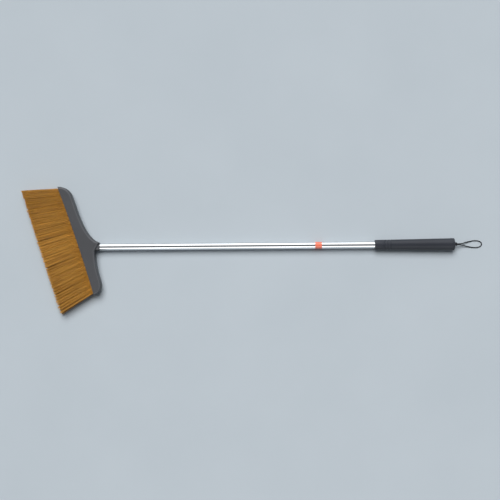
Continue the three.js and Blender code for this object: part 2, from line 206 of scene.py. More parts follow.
# Tube and band
HANDLE_SEGMENTS = 128
TUBE_RADIUS = 9.5
TUBE_WALL = 1
TUBE_BEVEL = 0.3
TUBE_START = 27.06
TUBE_END = 1065.4
BAND_START = 674.7
BAND_LENGTH = 19
BAND_MIDDLE = 0.2
BAND_HALF = 0.08
BAND_BEVEL = 0.1
BAND_STEPS = 140
BAND_LAP = 0.5
BAND_LAP_HEIGHT = 0.16
BAND_LAP_STEP = 118
BAND_LAP_STEPS = 14

# Grip
GRIP_START = 844.7
GRIP_END = 1071.7
GRIP_START_RADIUS = 14
GRIP_END_RADIUS = 17.5
GRIP_ROUND = 1.5
GRIP_TAPER_FROM = 22
GRIP_TAPER_STEPS = 40
GROOVE_AT = 872.7
GROOVE_HALF_GAP = 0.15
GROOVE_LIP = 1.0
GROOVE_LIP_SAG = 0.25
GROOVE_LIP_DEPTH = 0.9
FAINT_GROOVES = 2
FAINT_GROOVE_PITCH = 8.6
FAINT_GROOVE_WIDTH = 3.0
FAINT_GROOVE_DEPTH = 0.8
FAINT_GROOVE_STEPS = 8
CAP_START = 1065.7
CAP_GAP = 0.3
CAP_BEVEL = 0.4
CAP_ROUND = 2.6
SPIGOT_RADIUS = 8.2
SPIGOT_WALL = 2
SPIGOT_LENGTH = 24
CORD_HOLE_RADIUS = 3.1
CORD_HOLE_ROUND = 0.8

# Cord
CORD_RADIUS = 1.4
BRAID_STEP = 0.3
BRAID_PITCH = 7.5
BRAID_STRANDS = 4
BRAID_SIDES = 24
BRAID_LOW = 0.91
BRAID_RELIEF = 0.14
KNOT_AT = 1076.7
KNOT_ASIDE = 0.6
KNOT_CORD_RADIUS = 1.3
KNOT_BACK = 2.9
KNOT_LENGTH = 5.6
KNOT_HALF_WIDTH = 3.5
KNOT_HALF_HEIGHT = 2.8
KNOT_TURNS = 2.6
KNOT_FIRST_TURN = 0.6
KNOT_STEPS = 96
STRAND_ASIDE = 1.4
STRAND_DEPTH = 12
STRAND_PAST_KNOT = 2.4
STRAND_BEND_START = 0.6
STRAND_BEND_RUN = 0.3
STRAND_STEPS = 30
# One side of the loop: how far from the knot's centre, from the middle of the loop and below the knot
LOOP_SIDE = [
    [3.3, 1.5, 0.3], [9, 1.5, 2.4], [15, 1.7, 5.4], [21, 2.7, 8.6], [28, 4.6, 11.6], [36, 6.6, 14],
    [44, 8.3, 15.3], [52, 9.6, 15.9], [59, 9.8, 15.95], [66, 9, 15.95], [71.4, 7.1, 15.95], [75, 4.2, 15.95],
]
LOOP_TIP = [76.3, 0, 15.95]
LOOP_STEPS = 8

# Camera and floor
CAMERA_SENSOR = 36
CAMERA_LENS = 75.28
CAMERA_PLACE_M = (0.4749, -0.0118, 3.0)
CAMERA_TURN = math.radians(-0.45)
FLOOR_HALF = 20000
FLOOR_HEIGHT = -0.2


# Frames: the head is drawn flat, X along its mouth and Y towards the handle
def from_head(points):
    points = np.asarray(points, float)
    turn = TILT - math.pi / 2
    x = points[:, 0] * math.cos(turn) - points[:, 1] * math.sin(turn) - REST_POINT
    y = points[:, 0] * math.sin(turn) + points[:, 1] * math.cos(turn)
    return np.stack([x, y, points[:, 2] + HALF_THICKNESS], 1)


def from_handle(points):
    return np.asarray(points, float) + [-REST_POINT, 0, HALF_THICKNESS]


def on_handle(along, across):
    """A point of the head's plane, from its place along and across the handle."""
    return np.array([
        along * math.sin(TILT) + across * math.cos(TILT),
        along * math.cos(TILT) - across * math.sin(TILT),
    ])


BLOCK_SCREWS = [
    (MOUTH_CENTRE + (i - (BLOCK_SCREW_COUNT - 1) / 2) * BLOCK_SCREW_PITCH, BLOCK_SCREW_IN)
    for i in range(BLOCK_SCREW_COUNT)
]
SOCKET_SCREW = on_handle(SOCKET_SCREW_AT, 0)


# Meshes
def shade(mesh, sharp_deg):
    """Smooth faces, with an edge where they turn by more than an angle."""
    mesh.shade_smooth()
    mesh.set_sharp_from_angle(angle=math.radians(sharp_deg))


def make(name, points, faces, sharp_deg=35):
    mesh = bpy.data.meshes.new(name)
    mesh.from_pydata((np.asarray(points) * MM).tolist(), [], faces)
    mesh.validate()
    shade(mesh, sharp_deg)
    piece = bpy.data.objects.new(name, mesh)
    bpy.context.scene.collection.objects.link(piece)
    return piece


def add_attribute(piece, name, values):
    """A number for each point of a piece, which its material reads."""
    attribute = piece.data.attributes.new(name, "FLOAT", "POINT")
    attribute.data.foreach_set("value", values.astype(np.float32))


def at_height(plan, z):
    return np.column_stack([plan, np.full(len(plan), z)])


def skin(rings, closed=False):
    """Faces over rings of points that all have the same count, joined end to end or else capped."""
    count, around = len(rings), len(rings[0])
    faces = []
    for i in range(count if closed else count - 1):
        a, b = i * around, (i + 1) % count * around
        for j in range(around):
            k = (j + 1) % around
            faces.append((a + j, a + k, b + k, b + j))
    if not closed:
        faces.append(tuple(range(around))[::-1])
        faces.append(tuple(range((count - 1) * around, count * around)))
    return np.concatenate(rings), faces


def flipped(faces):
    return [face[::-1] for face in faces]


def revolved(profile, segments, closed=True):
    """Turns a profile of [along, radius] about the handle's axis. A profile that isn't closed is capped."""
    angles = np.linspace(0, 2 * math.pi, segments, endpoint=False)
    rings = [
        np.stack([np.full(segments, along), radius * np.cos(angles), radius * np.sin(angles)], 1)
        for along, radius in profile
    ]
    return skin(rings, closed)


def arc(along, radius, size, start_deg, end_deg, steps=6):
    """Points of a profile on an arc. Its angles run from the outward direction towards the end of the handle."""
    angles = np.radians(np.linspace(start_deg, end_deg, steps + 1))
    return [[along + size * math.sin(a), radius + size * math.cos(a)] for a in angles]


def apply_modifiers(piece):
    bpy.context.view_layer.update()
    graph = bpy.context.evaluated_depsgraph_get()
    mesh = bpy.data.meshes.new_from_object(piece.evaluated_get(graph))
    piece.modifiers.clear()
    piece.data = mesh


def boolean(piece, other, operation):
    modifier = piece.modifiers.new("cut", "BOOLEAN")
    modifier.operation = operation
    modifier.solver = "EXACT"
    modifier.object = other
    apply_modifiers(piece)
    bpy.data.objects.remove(other)


def show(piece, material, slot, body, *nodes):
    """Puts a finished piece on its body, in place of the solids of some nodes."""
    piece.data.materials.clear()
    piece.data.materials.append(material)
    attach(piece, body)
    if nodes:
        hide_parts(*nodes)
    return piece


# Materials
class Nodes:
    """A node tree, with a short way to add and join its nodes."""

    def __init__(self, tree):
        self.tree = tree

    def set(self, node, key, value):
        socket = node.inputs[key]
        if isinstance(value, bpy.types.NodeSocket):
            self.tree.links.new(value, socket)
        else:
            socket.default_value = value

    def add(self, kind, inputs=None, **settings):
        node = self.tree.nodes.new(kind)
        for key, value in settings.items():
            setattr(node, key, value)
        for key, value in (inputs or {}).items():
            self.set(node, key, value)
        return node

    def coordinate(self, name):
        return self.add("ShaderNodeTexCoord").outputs[name]

    def height_of(self, vector):
        return self.add("ShaderNodeSeparateXYZ", {0: vector}).outputs["Z"]

    def ramp(self, value, low, high, to_low=0.0, to_high=1.0):
        return self.add("ShaderNodeMapRange", {
            "Value": value, "From Min": low, "From Max": high, "To Min": to_low, "To Max": to_high,
        }).outputs["Result"]

    def mix(self, factor, a, b):
        node = self.add("ShaderNodeMix", data_type="RGBA")
        for index, value in ((0, factor), (6, a), (7, b)):
            self.set(node, index, value)
        return node.outputs[2]

    def math(self, operation, a, b=0.0):
        return self.add("ShaderNodeMath", {0: a, 1: b}, operation=operation).outputs[0]


class Shader(Nodes):
    """A material with one principled surface."""

    def __init__(self, name, **values):
        self.material = bpy.data.materials.new(name)
        self.material.use_nodes = True
        super().__init__(self.material.node_tree)
        self.surface = self.tree.nodes["Principled BSDF"]
        self.dress(**values)
        self.place = self.coordinate("Object")

    def dress(self, **values):
        """Sets inputs of the surface, with an underscore in place of each space in their names."""
        for key, value in values.items():
            self.set(self.surface, key.replace("_", " "), value)

    def stretched(self, *scale):
        return self.add("ShaderNodeMapping", {"Vector": self.place, "Scale": scale}).outputs["Vector"]

    def noise(self, scale, detail=2.0, roughness=0.5, vector=None):
        return self.add("ShaderNodeTexNoise", {
            "Vector": vector or self.place, "Scale": scale, "Detail": detail, "Roughness": roughness,
        }).outputs["Fac"]

    def streaks(self, detail, roughness, *scale):
        """Noise drawn out along one axis: it is finest along the axis with the largest scale."""
        return self.noise(1, detail, roughness, self.stretched(*scale))

    def attribute(self, name):
        return self.add("ShaderNodeAttribute", attribute_name=name).outputs["Fac"]

    def bump(self, height, strength, depth_m, normal=None):
        node = self.add("ShaderNodeBump", {"Height": height, "Strength": strength, "Distance": depth_m})
        if normal:
            self.set(node, "Normal", normal)
        return node.outputs["Normal"]


def grey(value, tint=(1, 1, 1)):
    return (value * tint[0], value * tint[1], value * tint[2], 1)


def scaled(colour, factor):
    return tuple(min(c * factor, 1) for c in colour[:3]) + (1,)


def moulded(name, dark, light, rough, grain, depth_m, gloss=0.5, rim_highlight=0.0):
    """Moulded plastic: slight flow marks, a fine eroded grain, and edges rubbed a little paler.

    The rim is how much paler rounded edges are, which face neither up nor sideways: a painted highlight along them.
    Without it, the paler edges are wear only.
    """
    s = Shader(name, Specular_IOR_Level=gloss)
    flow = s.ramp(s.noise(11, 4, 0.55), 0.3, 0.7)
    grains = s.noise(grain, 3, 0.6)
    rub = s.ramp(s.add("ShaderNodeNewGeometry").outputs["Pointiness"], 0.51, 0.58)
    patchy = s.math("MULTIPLY", rub, s.ramp(s.noise(160, 3), 0.35, 0.65))
    body = s.mix(flow, dark, light)
    speckled = s.mix(s.ramp(grains, 0.35, 0.7, 0, 0.35), body, scaled(dark, 0.78))
    edge = s.math("MULTIPLY", patchy, 0.4)
    # Painted highlight: with a rim, the paler edge falls only where rounded edges turn a little from facing up,
    # beside a flat top
    if rim_highlight:
        slope = s.math("ABSOLUTE", s.height_of(s.coordinate("Normal")))
        rounded = s.math("MULTIPLY", s.ramp(slope, 0.72, 0.86), s.ramp(slope, 0.995, 0.97))
        edge = s.math("MULTIPLY", rounded, s.ramp(patchy, 0, 1, 0.7 * rim_highlight, rim_highlight))
    wear_and_highlight = s.mix(edge, speckled, scaled(light, 1.7))
    s.dress(Base_Color=wear_and_highlight, Roughness=s.ramp(grains, 0.3, 0.7, rough - 0.05, rough + 0.07))
    scuffs = s.streaks(2, 0.5, 240, 1500, 900)
    s.dress(Normal=s.bump(scuffs, 0.12, depth_m, s.bump(grains, 0.6, depth_m)))
    return s.material


def aluminium():
    """Drawn and anodised tube: fine lines along its length."""
    dull, bright = (0.80, 0.81, 0.82, 1), (0.88, 0.89, 0.90, 1)
    s = Shader("aluminium", Metallic=1.0)
    lines = s.streaks(5, 0.65, 1.3, 900, 900)
    broad = s.streaks(2, 0.5, 2.5, 60, 60)
    s.dress(Base_Color=s.mix(s.ramp(lines, 0.3, 0.7), dull, bright))
    s.dress(Roughness=s.math("ADD", s.ramp(lines, 0.25, 0.75, 0.045, 0.085), s.ramp(broad, 0.3, 0.7, 0, 0.02)))
    s.dress(Normal=s.bump(lines, 0.1, 0.00002))
    return s.material


def band_film():
    """Printed film: a glossy orange skin with slight ripples."""
    thick_ink, thin_ink = (0.84, 0.165, 0.085, 1), (0.94, 0.215, 0.12, 1)
    s = Shader("band_film", Coat_Weight=0.7, Coat_Roughness=0.08)
    ink = s.ramp(s.noise(420, 3, 0.6), 0.3, 0.7)
    s.dress(Base_Color=s.mix(ink, thick_ink, thin_ink), Roughness=s.ramp(ink, 0, 1, 0.3, 0.4))
    s.dress(Normal=s.bump(s.streaks(2, 0.5, 260, 90, 90), 0.25, 0.0002))
    return s.material


def fibre():
    """Synthetic fibres: each has its own tone, more orange at its root and bleached at its cut end. The tone also
    carries painted shade, darker towards both ends of the row.
    """
    dull, vivid = (0.43, 0.200, 0.026, 1), (0.81, 0.432, 0.076, 1)
    root, blotch, cut_end = (0.78, 0.346, 0.037, 1), (0.465, 0.211, 0.027, 1), (0.80, 0.50, 0.144, 1)
    s = Shader("bristle_fibre", Specular_IOR_Level=0.45)
    tone, along = s.attribute("tone"), s.attribute("along")
    colour = s.mix(tone, dull, vivid)
    colour = s.mix(s.ramp(along, 0.0, 0.35, 0.35, 0), colour, root)
    colour = s.mix(s.ramp(s.noise(90, 3), 0.3, 0.7, 0, 0.12), colour, blotch)
    colour = s.mix(s.ramp(along, 0.985, 1.0, 0, 0.35), colour, cut_end)
    s.dress(Base_Color=colour, Roughness=s.ramp(tone, 0, 1, 0.4, 0.55))
    s.dress(Normal=s.bump(s.noise(1500, 2), 0.15, 0.00005))
    return s.material


def cord_yarn():
    """Braided yarn: dark strands with paler fibres on top, and painted shade that makes the grooves between strands
    darker still.
    """
    gap, strand, fluff = (0.004, 0.005, 0.006, 1), (0.014, 0.015, 0.019, 1), (0.024, 0.026, 0.032, 1)
    s = Shader("cord_yarn", Sheen_Weight=0.1, Sheen_Roughness=0.5)
    high = s.attribute("height")
    fuzz = s.noise(2600, 3, 0.6)
    # Painted shade: where the braid's relief is low, between the strands, the colour darkens towards the groove
    # colour
    colour = s.mix(s.ramp(high, 0.2, 1.0), gap, strand)
    s.dress(Base_Color=s.mix(s.ramp(fuzz, 0.4, 0.7, 0, 0.4), colour, fluff))
    s.dress(Roughness=s.ramp(fuzz, 0.3, 0.7, 0.7, 0.9), Normal=s.bump(fuzz, 0.5, 0.0002))
    return s.material


def steel():
    """Zinc-plated steel, with small patches."""
    dull, bright = (0.42, 0.43, 0.44, 1), (0.56, 0.56, 0.55, 1)
    s = Shader("zinc_steel", Metallic=1.0)
    patch = s.noise(900, 4, 0.6)
    s.dress(Base_Color=s.mix(s.ramp(patch, 0.3, 0.7), dull, bright))
    s.dress(Roughness=s.ramp(patch, 0.3, 0.7, 0.28, 0.42), Normal=s.bump(patch, 0.15, 0.00005))
    return s.material


HOOD_TINT = (0.985, 1, 1.07)
GRIP_TINT = (0.92, 1, 1.26)
HOOD_PLASTIC = moulded(
    "hood_plastic", grey(0.063, HOOD_TINT), grey(0.074, HOOD_TINT),
    rough=0.46, grain=2300, depth_m=0.00004, rim_highlight=0.8,
)
GRIP_PLASTIC = moulded(
    "grip_plastic", grey(0.030, GRIP_TINT), grey(0.037, GRIP_TINT),
    rough=0.4, grain=1500, depth_m=0.00006, gloss=0.3,
)
BLACK_PLASTIC = moulded("black_plastic", grey(0.018), grey(0.026), rough=0.55, grain=1900, depth_m=0.00004)
ALUMINIUM = aluminium()
BAND_FILM = band_film()
FIBRE = fibre()
CORD_YARN = cord_yarn()
STEEL = steel()


# Hood
def bezier(a, b, c, d, steps):
    t = np.linspace(0, 1, steps + 1)[:, None]
    return (1 - t) ** 3 * a + 3 * (1 - t) ** 2 * t * b + 3 * (1 - t) * t ** 2 * c + t ** 3 * d


def bell_outline():
    """The hood's bell-shaped outline as dense points, clockwise from the upper end of its mouth.

    Both ends run on past the mouth, which is cut later. Points close to the neck's tip are left out, so that the
    outline doesn't fold there when it is moved inwards.
    """
    upper = np.array([MOUTH_LEFT + HOOD_END_RUN, HOOD_SHOULDER])
    lower = np.array([MOUTH_RIGHT - HOOD_END_RUN, HOOD_SHOULDER])
    tip = on_handle(SOCKET_END - COLLAR_LENGTH, -SOCKET_RADIUS)
    notch = on_handle(NOTCH_AT, SOCKET_RADIUS)
    left, right = np.array([MOUTH_LEFT, 0]), np.array([MOUTH_RIGHT, 0])
    lean = math.tan(UPPER_END_LEAN)
    rise = UPPER_END_RISE * HOOD_SHOULDER
    up, down = tip - upper, lower - notch
    upper_end = bezier(
        left, left + [rise * lean, rise], upper - [UPPER_END_RUN * HOOD_END_RUN, 0], upper, END_STEPS,
    )
    upper_sweep = bezier(
        upper, upper + [UPPER_SWEEP_START * up[0], 0],
        np.array([tip[0] - UPPER_SWEEP_END * up[0], upper[1] + UPPER_SWEEP_RISE * up[1]]), tip,
        UPPER_SWEEP_STEPS,
    )
    lower_sweep = bezier(
        notch, np.array([notch[0] + LOWER_SWEEP_START * down[0], lower[1] - LOWER_SWEEP_RISE * down[1]]),
        lower - [LOWER_SWEEP_END * down[0], 0], lower, LOWER_SWEEP_STEPS,
    )
    lower_end = bezier(
        lower, lower + [LOWER_END_RUN * HOOD_END_RUN, 0], right + [0, LOWER_END_RISE * HOOD_SHOULDER], right,
        END_STEPS,
    )
    upper_sweep = upper_sweep[np.linalg.norm(upper_sweep - tip, axis=1) > TIP_CLEARANCE]
    return np.concatenate([
        [left - [MOUTH_OVERRUN * lean, MOUTH_OVERRUN]], upper_end[:-1], upper_sweep, [tip], lower_sweep,
        lower_end[1:], [right - [0, MOUTH_OVERRUN]],
    ])


def inset(outline, distance):
    """A clockwise outline moved inwards, corner by corner."""
    step = np.roll(outline, -1, 0) - outline
    step /= np.linalg.norm(step, axis=1)[:, None]
    inward = np.stack([step[:, 1], -step[:, 0]], 1)
    both = inward + np.roll(inward, 1, 0)
    both /= np.linalg.norm(both, axis=1)[:, None]
    return outline + both * (distance / np.sum(both * inward, 1))[:, None]


def bell(name, gap, line=0.0):
    """The bell with rounded edges, inside the hood's outer face by a gap, with a mould line round its middle."""
    outline = bell_outline()
    size = max(EDGE_ROUND - gap, LEAST_ROUND)
    top = HALF_THICKNESS - gap - size
    quarter = np.radians(np.linspace(0, 90, ROUND_LEVELS))
    upper = [(gap + size * (1 - math.cos(a)), top + size * math.sin(a)) for a in quarter]
    lower = [(d, -z) for d, z in upper[::-1]]
    raised = gap - line
    middle = [(gap, -MOULD_LINE_FOOT), (raised, -MOULD_LINE_TOP), (raised, MOULD_LINE_TOP), (gap, MOULD_LINE_FOOT)]
    points, faces = skin([at_height(inset(outline, d), z) for d, z in lower + middle + upper])
    return make(name, from_head(points), flipped(faces))


def mouth_cut():
    """A cutter for everything below the hood's arched mouth."""
    t = np.linspace(0, 1, ARCH_STEPS + 1)[:, None]
    right, left = np.array([MOUTH_RIGHT, 0.0]), np.array([MOUTH_LEFT, 0.0])
    crown = np.array([MOUTH_CENTRE, 2 * MOUTH_ARCH])
    arch = (1 - t) ** 2 * right + 2 * (1 - t) * t * crown + t ** 2 * left
    far = CUT_HALF_WIDTH
    plan = np.concatenate([arch, [[-far, 0], [-far, -CUT_REACH], [far, -CUT_REACH], [far, 0]]])
    points, faces = skin([at_height(plan, z) for z in (-CUT_HALF_HEIGHT, CUT_HALF_HEIGHT)])
    return make("mouth_cut", from_head(points), faces)


def round_bar(name, profile):
    points, faces = revolved(profile, SOCKET_SEGMENTS, closed=False)
    return make(name, from_handle(points), flipped(faces))


def countersink(x, y):
    """A cutter for a screw hole in the back of the hood, through its wall and the socket's."""
    low = SCREW_SINK - HALF_THICKNESS
    head, shank = SCREW_HEAD_RADIUS + COUNTERSINK_GAP, SCREW_RADIUS + COUNTERSINK_GAP
    turn = np.linspace(0, 2 * math.pi, COUNTERSINK_SEGMENTS, endpoint=False)
    profile = [
        (-COUNTERSINK_BELOW, head), (SCREW_HEAD_RIM, head),
        (SCREW_HEAD_HEIGHT + COUNTERSINK_GAP, shank), (COUNTERSINK_REACH, shank),
    ]
    points, faces = skin([
        at_height(np.column_stack([x + r * np.cos(turn), y + r * np.sin(turn)]), low + z) for z, r in profile
    ])
    return make("countersink", from_head(points), faces)


def hood():
    shell = bell("hood_shell", 0, MOULD_LINE)
    boolean(shell, bell("hollow", HOOD_WALL), "DIFFERENCE")
    rounded = arc(SOCKET_END - SOCKET_ROUND, SOCKET_RADIUS - SOCKET_ROUND, SOCKET_ROUND, 0, 90)
    boolean(shell, round_bar("socket", [[SOCKET_START, SOCKET_RADIUS], *rounded]), "UNION")
    bore = TUBE_RADIUS + FIT
    boolean(shell, round_bar("bore", [[SOCKET_START + SOCKET_FLOOR, bore], [BORE_CUT_END, bore]]), "DIFFERENCE")
    boolean(shell, mouth_cut(), "DIFFERENCE")
    for spot in (*BLOCK_SCREWS, SOCKET_SCREW):
        boolean(shell, countersink(*spot), "DIFFERENCE")
    shade(shell.data, sharp_deg=32)
    weighted = shell.modifiers.new("normals", "WEIGHTED_NORMAL")
    weighted.keep_sharp = True
    apply_modifiers(shell)
    show(shell, HOOD_PLASTIC, "hood_plastic", "broom", "hood")


# Bristles: tufts of single fibres that fan out from the block and gather into clumps
def tufts(row):
    """Where the tufts of a row stand, from the middle of the mouth. The middle row is staggered."""
    count = TUFT_GAPS if row == 0 else TUFT_GAPS + 1
    return (np.arange(count) - (count - 1) / 2) * TUFT_SPAN / TUFT_GAPS


def part_tufts(count, tuft, u, v):
    """The number of each fibre's clump, from its tuft and its place in it."""
    cuts = np.sort(rng.normal(CLUMP_CUTS, CLUMP_CUT_SPREAD, (count, 2)), 1)
    cuts[rng.uniform(0, 1, count) < TWO_ACROSS_SHARE] = TWO_ACROSS_CUTS
    cuts += rng.normal(0, CLUMP_CUT_SPREAD, (count, 1))
    return TUFT_CLUMPS * tuft + 2 * (u[:, None] > cuts[tuft]).sum(1) + (v > 0)


def fibre_faces(count):
    """Faces of some fibres: rings of points along each of them, closed at the root and the tip."""
    ring = np.arange(FIBRE_STEPS)[:, None] * FIBRE_SIDES
    j, k = np.arange(FIBRE_SIDES), (np.arange(FIBRE_SIDES) + 1) % FIBRE_SIDES
    quads = np.stack([ring + j, ring + k, ring + FIBRE_SIDES + k, ring + FIBRE_SIDES + j], -1).reshape(-1, 4)
    quads = np.concatenate([quads, [j[::-1], j + FIBRE_STEPS * FIBRE_SIDES]])
    first = np.arange(count)[:, None, None] * (FIBRE_STEPS + 1) * FIBRE_SIDES
    return (first + quads).reshape(-1, 4).tolist()


def bristle_row(name, node, row):
    """A row of tufts: 1 is the front row, 0 the middle one and -1 the back one."""
    places = tufts(row)
    half = TUFT_SPAN / 2
    tuft = np.repeat(np.arange(len(places)), TUFT_FIBRES)
    spot = np.tile(np.arange(TUFT_FIBRES), len(places))
    n = len(tuft)
    base = places[tuft]
    # Each fibre's place in its tuft, across the row and in depth, from -1 to 1
    u = 2 * ((0.5 + spot * SPREAD_ACROSS[0] + tuft * SPREAD_ACROSS[1]) % 1) - 1
    v = 2 * ((0.5 + spot * SPREAD_DEEP[0] + tuft * SPREAD_DEEP[1]) % 1) - 1

    # Clumps: their middles, how far a fibre is from its clump's, and the halves of the rows that are seen
    clump = part_tufts(len(places), tuft, u, v)
    groups = TUFT_CLUMPS * len(places)
    members = np.maximum(np.bincount(clump, minlength=groups), 1)
    mean_u = np.bincount(clump, u, groups) / members
    mean_v = np.bincount(clump, v, groups) / members
    variance = np.bincount(clump, u ** 2, groups) / members - mean_u ** 2
    half_u = np.sqrt(3 * np.maximum(variance, CLUMP_LEAST_SPREAD))
    off_middle = np.clip((u - mean_u[clump]) / half_u[clump], -1, 1) ** 2
    outer = (v * row > 0).astype(float)

    clump_u = mean_u + rng.normal(0, CLUMP_DRIFT, groups)
    clump_tone = rng.uniform(0, 1, groups)
    gather = rng.uniform(*CLUMP_GATHER, len(places))[tuft]
    clump_end = rng.normal(0, CLUMP_END_UNEVEN, groups)[clump]
    stray = rng.normal(0, 1, (n, 2))
    wave = rng.uniform(0, 2 * math.pi, (n, 2))
    bend = rng.normal(0, 1, (n, 2))
    trim = TRIM_SHIFT + TRIM_SLANT * np.clip(base / half, -1, TRIM_SLANT_END)
    ends = BRISTLE_LENGTH + trim + clump_end + rng.normal(0, END_UNEVEN, n)
    ends -= np.where(rng.uniform(0, 1, n) < SHORT_SHARE, rng.uniform(0, SHORT_BY, n), 0)
    flare = np.where(base < 0, UPPER_FLARE, LOWER_FLARE - row * ROW_FLARE)
    lean_x = base / half * np.tan(flare)
    lean_z = row * (ROW_TIP_SPACING - ROW_SPACING) / (BLOCK_RECESS + BRISTLE_LENGTH)

    rings = np.zeros((n, FIBRE_STEPS + 1, FIBRE_SIDES, 3))
    along = np.zeros((n, FIBRE_STEPS + 1, FIBRE_SIDES))
    for i in range(FIBRE_STEPS + 1):
        t = i / FIBRE_STEPS
        reach = -ROOT_DEPTH + (ends + BLOCK_RECESS + ROOT_DEPTH) * t ** FIBRE_STEP_POWER
        free = np.clip(reach / (BLOCK_RECESS + BRISTLE_LENGTH), 0, FREE_MOST)
        bloom = 1 - np.exp(-np.maximum(reach, 0) / BLOOM_RUN)
        pull = (CLUMP_PULL + CLUMP_PULL_SLANT * base / half) * free ** CLUMP_PULL_POWER
        hollow = np.sqrt(1 - CLUMP_HOLLOW * off_middle * free ** CLUMP_PULL_POWER)
        clumped_u = u + (clump_u[clump] - u) * pull
        clumped_v = (v + (mean_v[clump] - v) * pull * outer) * (hollow * outer + 1 - outer)
        wide = ROOT_HALF + (BLOOM_HALF_WIDTH - ROOT_HALF) * bloom
        wide += (TIP_HALF_WIDTH * gather - BLOOM_HALF_WIDTH) * free ** TIP_WIDTH_POWER
        deep = ROOT_HALF + (BLOOM_HALF_DEPTH - ROOT_HALF) * bloom
        deep += (TIP_DEPTH_OUTER + TIP_DEPTH_INNER * (1 - outer)) * free
        sway = SWAY * np.sin(wave + SWAY_WAVES * t) * free[:, None] + BEND * bend * free[:, None] ** 2
        x = MOUTH_CENTRE + base + lean_x * reach + clumped_u * wide + sway[:, 0] + stray[:, 0] * STRAY_ACROSS * free
        y = BLOCK_RECESS - reach
        z = row * ROW_SPACING + lean_z * reach + clumped_v * deep + sway[:, 1] + stray[:, 1] * STRAY_DEEP * free
        z = np.clip(z, FIBRES_ABOVE_BACK - HALF_THICKNESS, HALF_THICKNESS - FIBRES_BELOW_FRONT)
        thick = FIBRE_RADIUS * (1 - TIP_TAPER * max(t - TIP_START, 0) / (1 - TIP_START))
        for j in range(FIBRE_SIDES):
            angle = 2 * math.pi * j / FIBRE_SIDES + FIBRE_SIDE_TURN
            rings[:, i, j] = np.column_stack([x + thick * math.cos(angle), y, z + thick * math.sin(angle)])
        along[:, i] = free[:, None]

    piece = make(name, from_head(rings.reshape(-1, 3)), fibre_faces(n), sharp_deg=60)
    # Painted shade: fibres are darker towards both ends of the row, more so at the upper end
    painted_shade = np.where(base < 0, PAINTED_SHADE_UPPER, PAINTED_SHADE_LOWER) * np.abs(base / half)
    tone = np.clip(FIBRE_TONE * rng.uniform(0, 1, n) + CLUMP_TONE * clump_tone[clump] - painted_shade, 0, 1)
    add_attribute(piece, "tone", np.repeat(tone, (FIBRE_STEPS + 1) * FIBRE_SIDES))
    add_attribute(piece, "along", along.reshape(-1))
    show(piece, FIBRE, "bristle", "broom", node)


# Screws with a cross recess, driven from the back of the hood
def recess_bar(turn):
    """One bar of the cross recess: a block that narrows towards its bottom."""
    bar = np.array([[a, b, c] for a in (-RECESS_ABOVE, RECESS_DEPTH) for b in (-1, 1) for c in (-1, 1)], float)
    narrow = np.where(bar[:, 0] > 0, RECESS_TAPER, 1)
    bar[:, 1] *= RECESS_HALF_LENGTH * narrow
    bar[:, 2] *= RECESS_HALF_WIDTH * narrow
    points = np.column_stack([
        bar[:, 0],
        bar[:, 1] * math.cos(turn) - bar[:, 2] * math.sin(turn),
        bar[:, 1] * math.sin(turn) + bar[:, 2] * math.cos(turn),
    ])
    faces = [(0, 1, 3, 2), (4, 6, 7, 5), (0, 4, 5, 1), (2, 3, 7, 6), (0, 2, 6, 4), (1, 5, 7, 3)]
    return make("bar", points, faces)


def screw(name, node, x, y, length):
    head, shank = SCREW_HEAD_RADIUS, SCREW_RADIUS
    threads = np.arange(SCREW_HEAD_HEIGHT + THREAD_FROM_HEAD, length - THREAD_FROM_END, THREAD_STEP)
    profile = [
        [0, head - SCREW_HEAD_BEVEL], [SCREW_HEAD_BEVEL_HEIGHT, head], [SCREW_HEAD_RIM, head],
        [SCREW_HEAD_HEIGHT, shank],
    ]
    profile += [[a, shank - THREAD_DEPTH * (i % 2)] for i, a in enumerate(threads)]
    profile += [[length - POINT_LENGTH, shank - POINT_STEP], [length - POINT_BLUNT, POINT_RADIUS]]
    points, faces = revolved(profile, SCREW_SEGMENTS, closed=False)
    body = make(name, points, flipped(faces))
    for turn in (0, math.pi / 2):
        boolean(body, recess_bar(turn), "DIFFERENCE")
    centre = from_head([[x, y, SCREW_SINK - HALF_THICKNESS]])[0] * MM
    up = Matrix(((0, 0, -1, 0), (0, 1, 0, 0), (1, 0, 0, 0), (0, 0, 0, 1)))
    body.data.transform(Matrix.Translation(centre) @ up)
    shade(body.data, sharp_deg=35)
    show(body, STEEL, "screw_steel", "broom", node)


# Handle
def turned(name, profile, material, slot, node):
    """A piece of the handle, turned about its axis from a closed profile."""
    points, faces = revolved(profile, HANDLE_SEGMENTS)
    show(make(name, from_handle(points), faces), material, slot, "broom", node)


def tube():
    inner, bevelled = TUBE_RADIUS - TUBE_WALL, TUBE_RADIUS - TUBE_BEVEL
    profile = [
        [TUBE_START, inner], [TUBE_START, bevelled], [TUBE_START + TUBE_BEVEL, TUBE_RADIUS],
        [TUBE_END - TUBE_BEVEL, TUBE_RADIUS], [TUBE_END, bevelled], [TUBE_END, inner],
    ]
    turned("handle_tube", profile, ALUMINIUM, "tube_aluminium", "tube")


